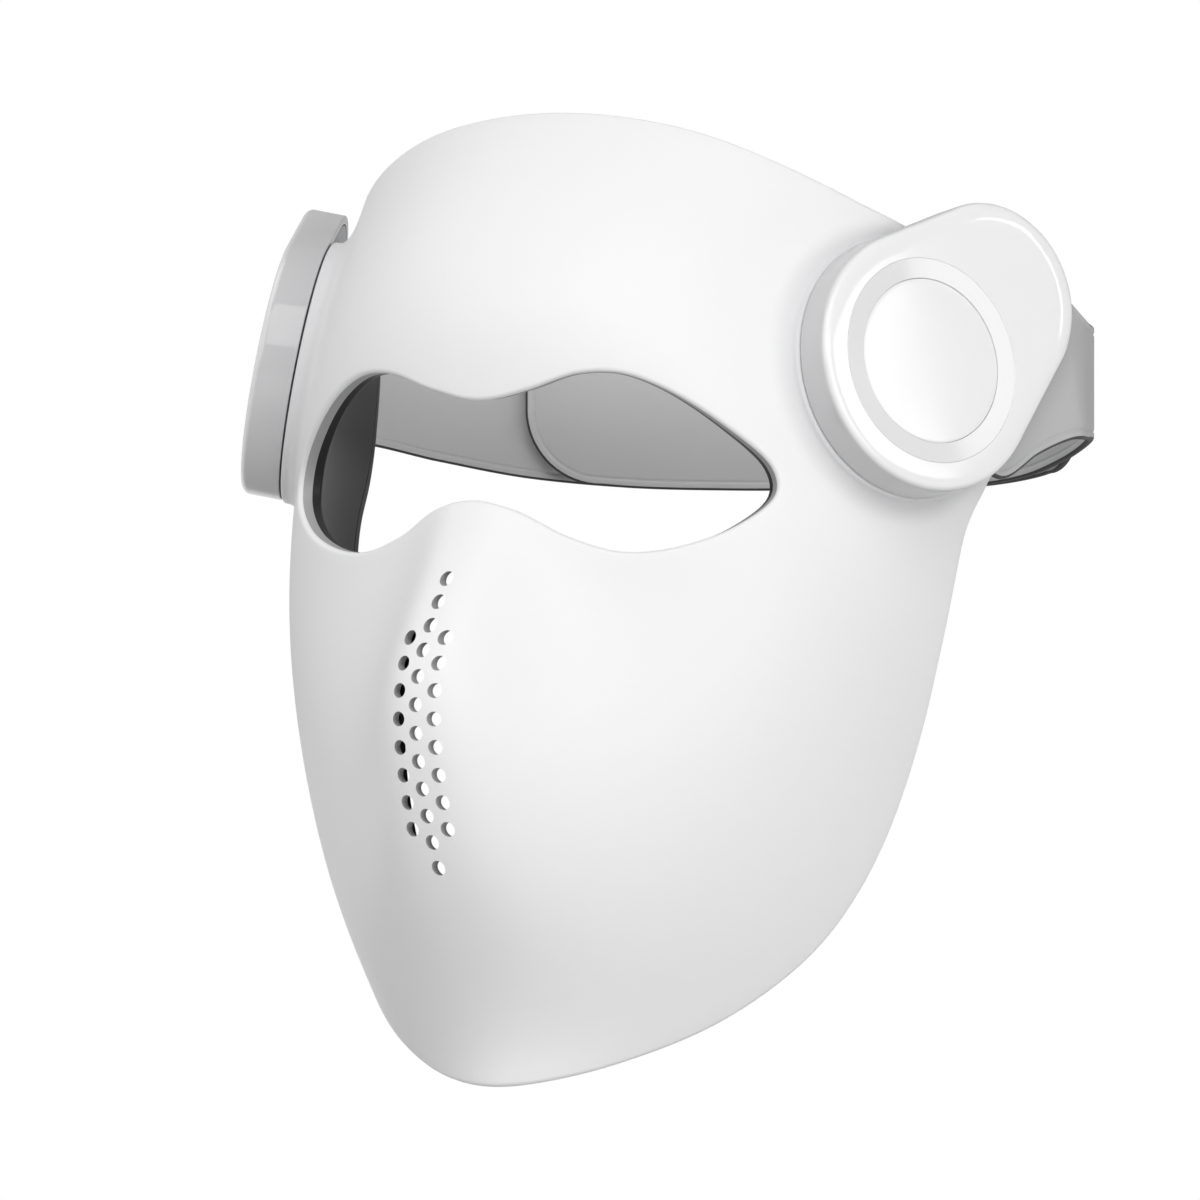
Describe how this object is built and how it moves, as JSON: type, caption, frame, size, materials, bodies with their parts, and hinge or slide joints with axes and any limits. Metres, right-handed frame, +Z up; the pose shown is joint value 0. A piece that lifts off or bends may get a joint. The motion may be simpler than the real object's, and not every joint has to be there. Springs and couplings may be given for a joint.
{
  "type": "led_face_mask",
  "caption": "Rigid light-therapy face mask with one wide eye opening and a ridged nose, worn by a head strap that tilts on two round temple pods, one with a push button",
  "frame": {"origin": "midpoint between the two pod pivots, at the temples of the wearer", "axes": "+Z up, -Y the way the face looks, +X to the left side of the wearer, which holds the button"},
  "size_m": [0.2091, 0.1952, 0.225],
  "materials": {
    "shell": "satin to glossy white moulded plastic",
    "liner": "dark smoked inner moulding",
    "inner": "grey inner moulding",
    "circuit": "amber flexible circuit with light chips",
    "board": "green circuit board",
    "steel": "plain steel screws and clamps",
    "cell": "silver pouch cell",
    "strap": "smooth matt light grey elastomer",
    "dark": "dark grey plastic and hook-and-loop pile"
  },
  "bodies": {
    "mask_body": {"face_shell": "shell", "inner_liner": "liner", "led_strip_forehead": "circuit", "led_strip_left_cheek": "circuit", "led_strip_right_cheek": "circuit", "led_strip_chin": "circuit", "left_lead": "dark", "right_lead": "dark", "left_pod_base": "inner", "left_snap_ring": "steel", "right_pod_base": "inner", "right_snap_ring": "steel", "control_board": "board", "power_switch": "dark", "right_cap": "shell"},
    "left_arm": {"left_arm_plate": "inner", "left_cover": "shell", "left_trim_ring": "shell", "left_cover_screw_1": "steel", "left_cover_screw_2": "steel", "left_cover_screw_3": "steel", "left_clamp_screw_1": "steel", "left_clamp_screw_2": "steel", "left_strap_tang": "strap", "left_strap_clamp": "steel"},
    "right_arm": {"right_arm_plate": "inner", "right_cover": "shell", "right_trim_ring": "shell", "right_cover_screw_1": "steel", "right_cover_screw_2": "steel", "right_cover_screw_3": "steel", "right_clamp_screw_1": "steel", "right_clamp_screw_2": "steel", "right_strap_tang": "strap", "right_strap_clamp": "steel", "battery": "cell", "charge_socket": "steel"},
    "head_strap": {"left_strap": "strap", "right_strap": "strap", "hook_patch": "dark", "loop_patch": "dark"},
    "button": {"power_button": "shell"}
  },
  "joints": [
    {"name": "strap_tilt", "type": "hinge", "parent": "mask_body", "child": "head_strap", "pos_m": [0, 0, 0], "axis": [1, 0, 0], "range_deg": [-10, 10]},
    {"name": "left_arm_swivel", "type": "hinge", "parent": "mask_body", "child": "left_arm", "pos_m": [0.079, 0, 0], "axis": [0.8968, -0.3993, 0.1908], "range_deg": [-10, 10]},
    {"name": "right_arm_swivel", "type": "hinge", "parent": "mask_body", "child": "right_arm", "pos_m": [-0.079, 0, 0], "axis": [0.8968, 0.3993, -0.1908], "range_deg": [-10, 10]},
    {"name": "power_button_press", "type": "slide", "parent": "mask_body", "child": "button", "axis": [-0.8968, 0.3993, -0.1908], "range_m": [0, 0.0006], "stiffness_N_per_m": 1500}
  ],
  "couplings": [
    {"joint": "left_arm_swivel", "follows": "strap_tilt", "ratio": 1},
    {"joint": "right_arm_swivel", "follows": "strap_tilt", "ratio": 1}
  ]
}
